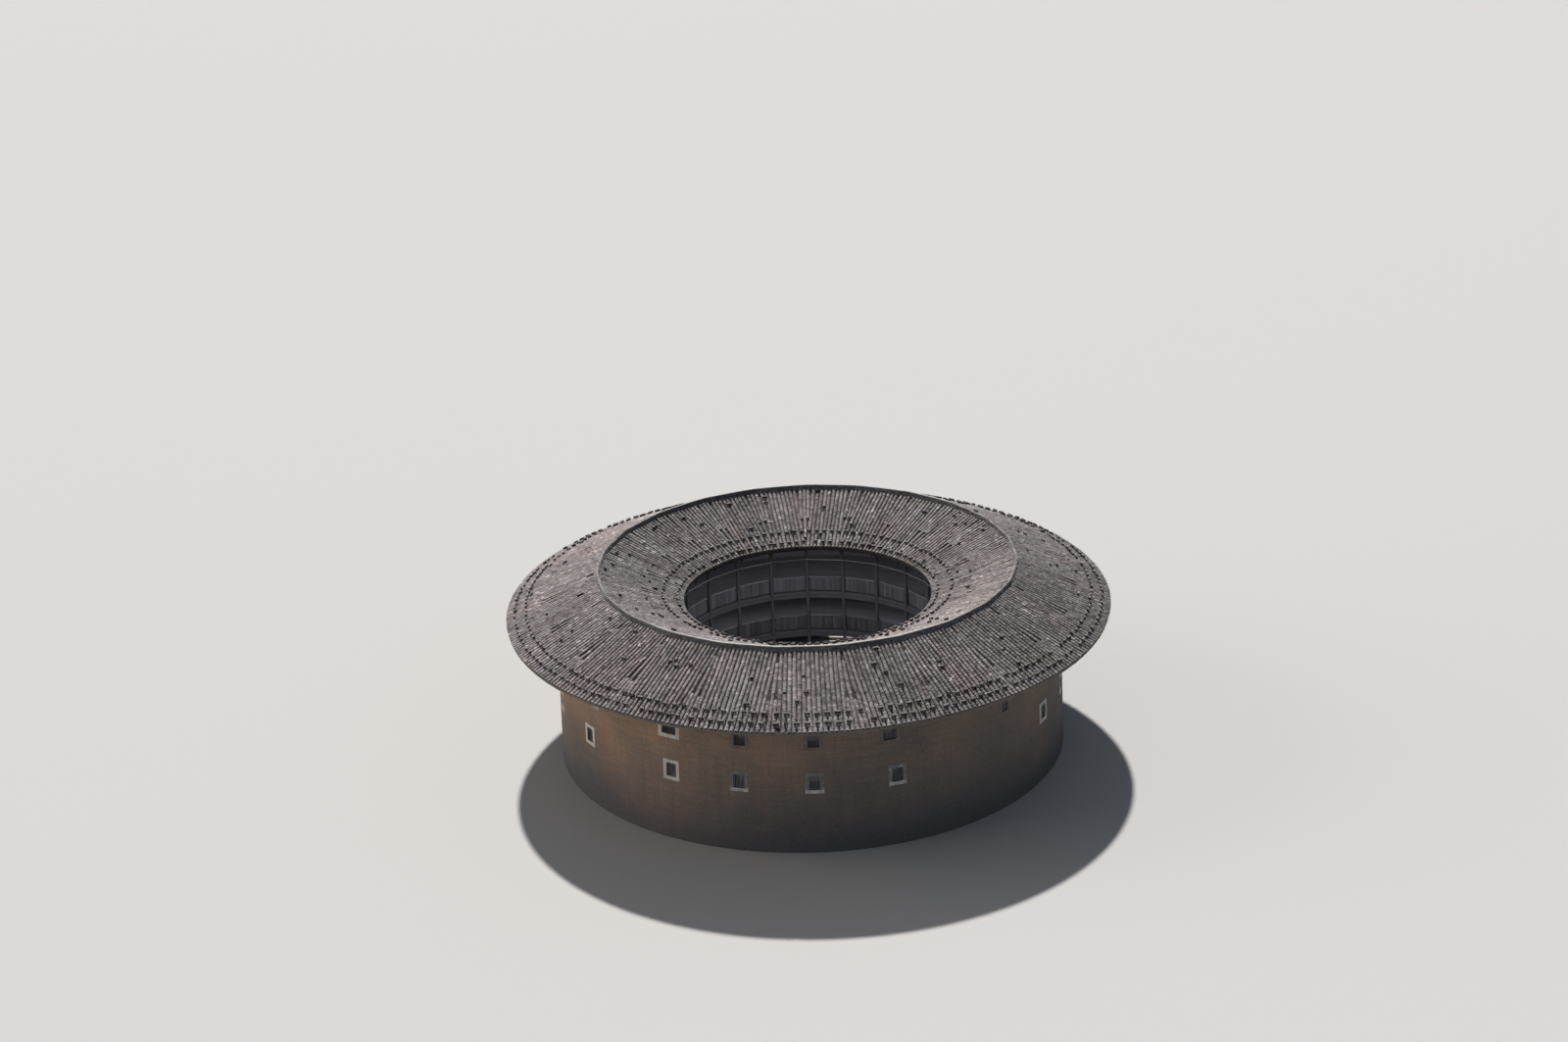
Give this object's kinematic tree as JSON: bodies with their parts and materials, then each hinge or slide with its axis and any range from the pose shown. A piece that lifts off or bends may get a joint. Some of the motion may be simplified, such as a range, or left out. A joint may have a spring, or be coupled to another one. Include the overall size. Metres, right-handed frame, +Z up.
{
  "type": "round earth house",
  "caption": "Ring shaped three storey earth house round an open court, with timber galleries inside and one tiled ring roof.",
  "frame": {"origin": "centre of the court, on the lowest ground that the wall reaches", "axes": "+Z up, the gate faces -Y, +X to the right as seen from the gate side"},
  "size_m": [37.5182, 37.5182, 12],
  "materials": {
    "rammed_earth": "matt, weathered, with building courses",
    "gate_stone": "dressed, weathered",
    "floor_boards": "bare, weathered",
    "gallery_timber": "bare, weathered",
    "railing_boards": "bare, weathered grey",
    "roof_tiles": "unglazed grey clay, weathered",
    "ridge_tiles": "stacked clay tiles with a thin mortar top"
  },
  "bodies": {
    "root": {"wall_01": "rammed_earth", "wall_02": "rammed_earth", "wall_03": "rammed_earth", "wall_04": "rammed_earth", "wall_05": "rammed_earth", "wall_06": "rammed_earth", "wall_07": "rammed_earth", "wall_08": "rammed_earth", "wall_09": "rammed_earth", "wall_10": "rammed_earth", "wall_11": "rammed_earth", "wall_gate_left": "rammed_earth", "wall_gate_right": "rammed_earth", "wall_over_gate": "rammed_earth", "gate_stone_frame": "gate_stone", "floor_second_1": "floor_boards", "floor_second_2": "floor_boards", "floor_second_3": "floor_boards", "floor_second_4": "floor_boards", "floor_third_1": "floor_boards", "floor_third_2": "floor_boards", "floor_third_3": "floor_boards", "floor_third_4": "floor_boards", "gallery_frame_01": "gallery_timber", "gallery_frame_02": "gallery_timber", "gallery_frame_03": "gallery_timber", "gallery_frame_04": "gallery_timber", "gallery_frame_05": "gallery_timber", "gallery_frame_06": "gallery_timber", "gallery_frame_07": "gallery_timber", "gallery_frame_08": "gallery_timber", "gallery_frame_09": "gallery_timber", "gallery_frame_10": "gallery_timber", "gallery_frame_11": "gallery_timber", "gallery_frame_12": "gallery_timber", "railing_second_1": "railing_boards", "railing_second_2": "railing_boards", "railing_third_1": "railing_boards", "railing_third_2": "railing_boards", "roof_outer_1": "roof_tiles", "roof_outer_2": "roof_tiles", "roof_outer_3": "roof_tiles", "roof_outer_4": "roof_tiles", "roof_inner_1": "roof_tiles", "roof_inner_2": "roof_tiles", "roof_inner_3": "roof_tiles", "roof_inner_4": "roof_tiles", "ridge_1": "ridge_tiles", "ridge_2": "ridge_tiles"}
  },
  "joints": []
}
